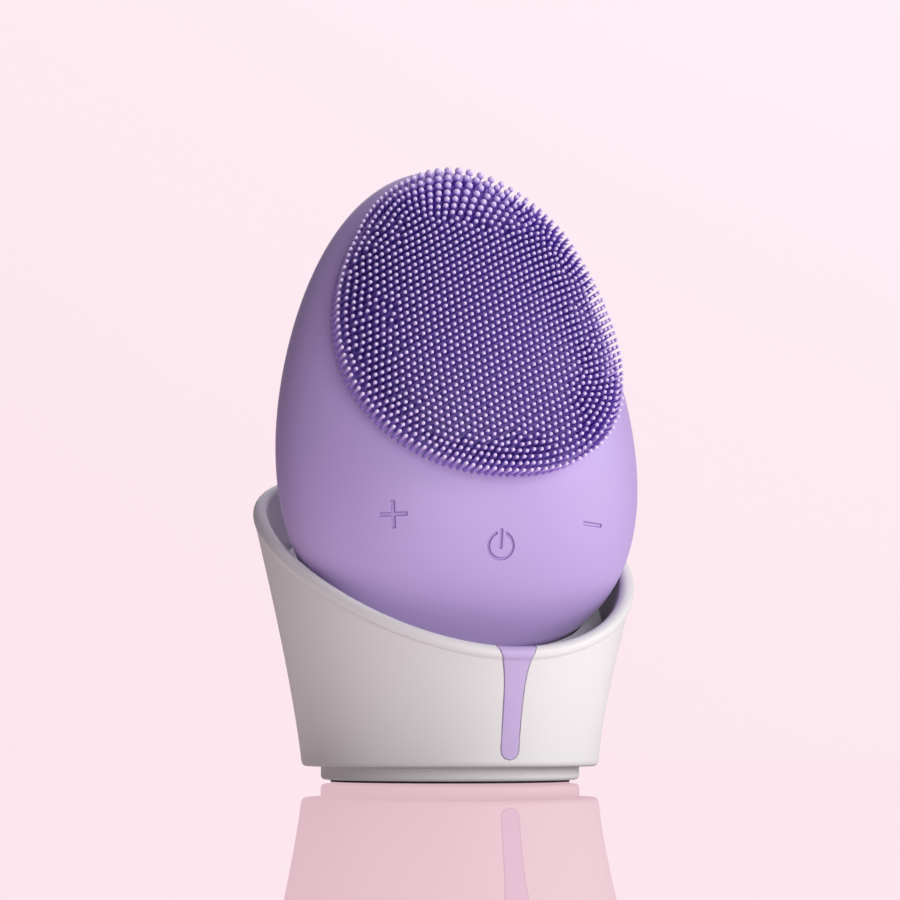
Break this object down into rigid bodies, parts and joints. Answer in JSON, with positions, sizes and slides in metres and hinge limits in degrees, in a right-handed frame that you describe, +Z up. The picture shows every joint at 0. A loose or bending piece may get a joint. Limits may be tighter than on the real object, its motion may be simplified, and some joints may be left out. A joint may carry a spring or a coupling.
{
  "type": "facial cleansing brush",
  "caption": "Egg-shaped silicone facial cleansing brush with a field of fine bristles and three soft keys, resting in a flared charging cup with a sloping rim.",
  "frame": {"origin": "centre of the anti-slip pad's underside, on the surface that the stand rests on", "axes": "+Z up, -Y out of the front of the object with the bristles and keys, +X to the right as seen from the front"},
  "size_m": [0.0732, 0.0704, 0.1184],
  "materials": {
    "lilac_silicone": "satin silicone skin, pale lilac",
    "purple_silicone": "satin silicone, deeper purple",
    "white_shell": "soft satin white moulding",
    "lilac_inlay": "satin lilac inlay",
    "grey_plastic": "plain moulded grey",
    "dark_rubber": "matte black rubber",
    "circuit_board": "green solder mask",
    "steel": "plain steel",
    "brass": "turned brass",
    "copper": "enamelled copper winding",
    "ferrite": "dark pressed ferrite",
    "battery_film": "blue pouch film"
  },
  "bodies": {
    "stand": {"cup_shell": "white_shell", "front_inlay": "lilac_inlay", "cradle_insert": "white_shell", "base_cover": "white_shell", "antislip_pad": "dark_rubber", "base_screw_1": "steel", "base_screw_2": "steel", "base_screw_3": "steel", "stand_board": "circuit_board", "usb_socket": "steel", "coil_post": "grey_plastic", "stand_ferrite": "ferrite", "charging_coil": "copper"},
    "brush": {"silicone_sleeve": "lilac_silicone", "bristle_pad": "purple_silicone", "bristle_field": "purple_silicone", "front_shell": "white_shell", "rear_shell": "white_shell", "shell_seal": "dark_rubber", "shell_screw_1": "steel", "shell_screw_2": "steel", "shell_screw_3": "steel", "shell_screw_4": "steel", "main_board": "circuit_board", "plus_switch": "steel", "power_switch": "steel", "minus_switch": "steel", "battery": "battery_film", "battery_foam": "dark_rubber", "motor_can": "steel", "motor_cushion": "dark_rubber", "motor_bracket": "grey_plastic", "receiving_coil": "copper", "receiving_ferrite": "ferrite"},
    "plus_button": {"plus_key": "lilac_silicone", "plus_plunger": "dark_rubber"},
    "power_button": {"power_key": "lilac_silicone", "power_plunger": "dark_rubber"},
    "minus_button": {"minus_key": "lilac_silicone", "minus_plunger": "dark_rubber"},
    "motor_rotor": {"motor_shaft": "steel", "eccentric_weight": "brass"}
  },
  "joints": [
    {"name": "brush_lift", "type": "slide", "parent": "stand", "child": "brush", "axis": [0, 0.1418, 0.9899], "range_m": [0, 0.06]},
    {"name": "plus_press", "type": "slide", "parent": "brush", "child": "plus_button", "axis": [0, 0.9899, -0.1418], "range_m": [0, 0.0004], "stiffness_N_per_m": 1200, "springref_m": -0.0005},
    {"name": "power_press", "type": "slide", "parent": "brush", "child": "power_button", "axis": [0, 0.9899, -0.1418], "range_m": [0, 0.0004], "stiffness_N_per_m": 1200, "springref_m": -0.0005},
    {"name": "minus_press", "type": "slide", "parent": "brush", "child": "minus_button", "axis": [0, 0.9899, -0.1418], "range_m": [0, 0.0004], "stiffness_N_per_m": 1200, "springref_m": -0.0005},
    {"name": "motor_spin", "type": "hinge", "parent": "brush", "child": "motor_rotor", "pos_m": [0, 0.00049, 0.09772], "axis": [0, 0.1418, 0.9899], "continuous": true}
  ]
}
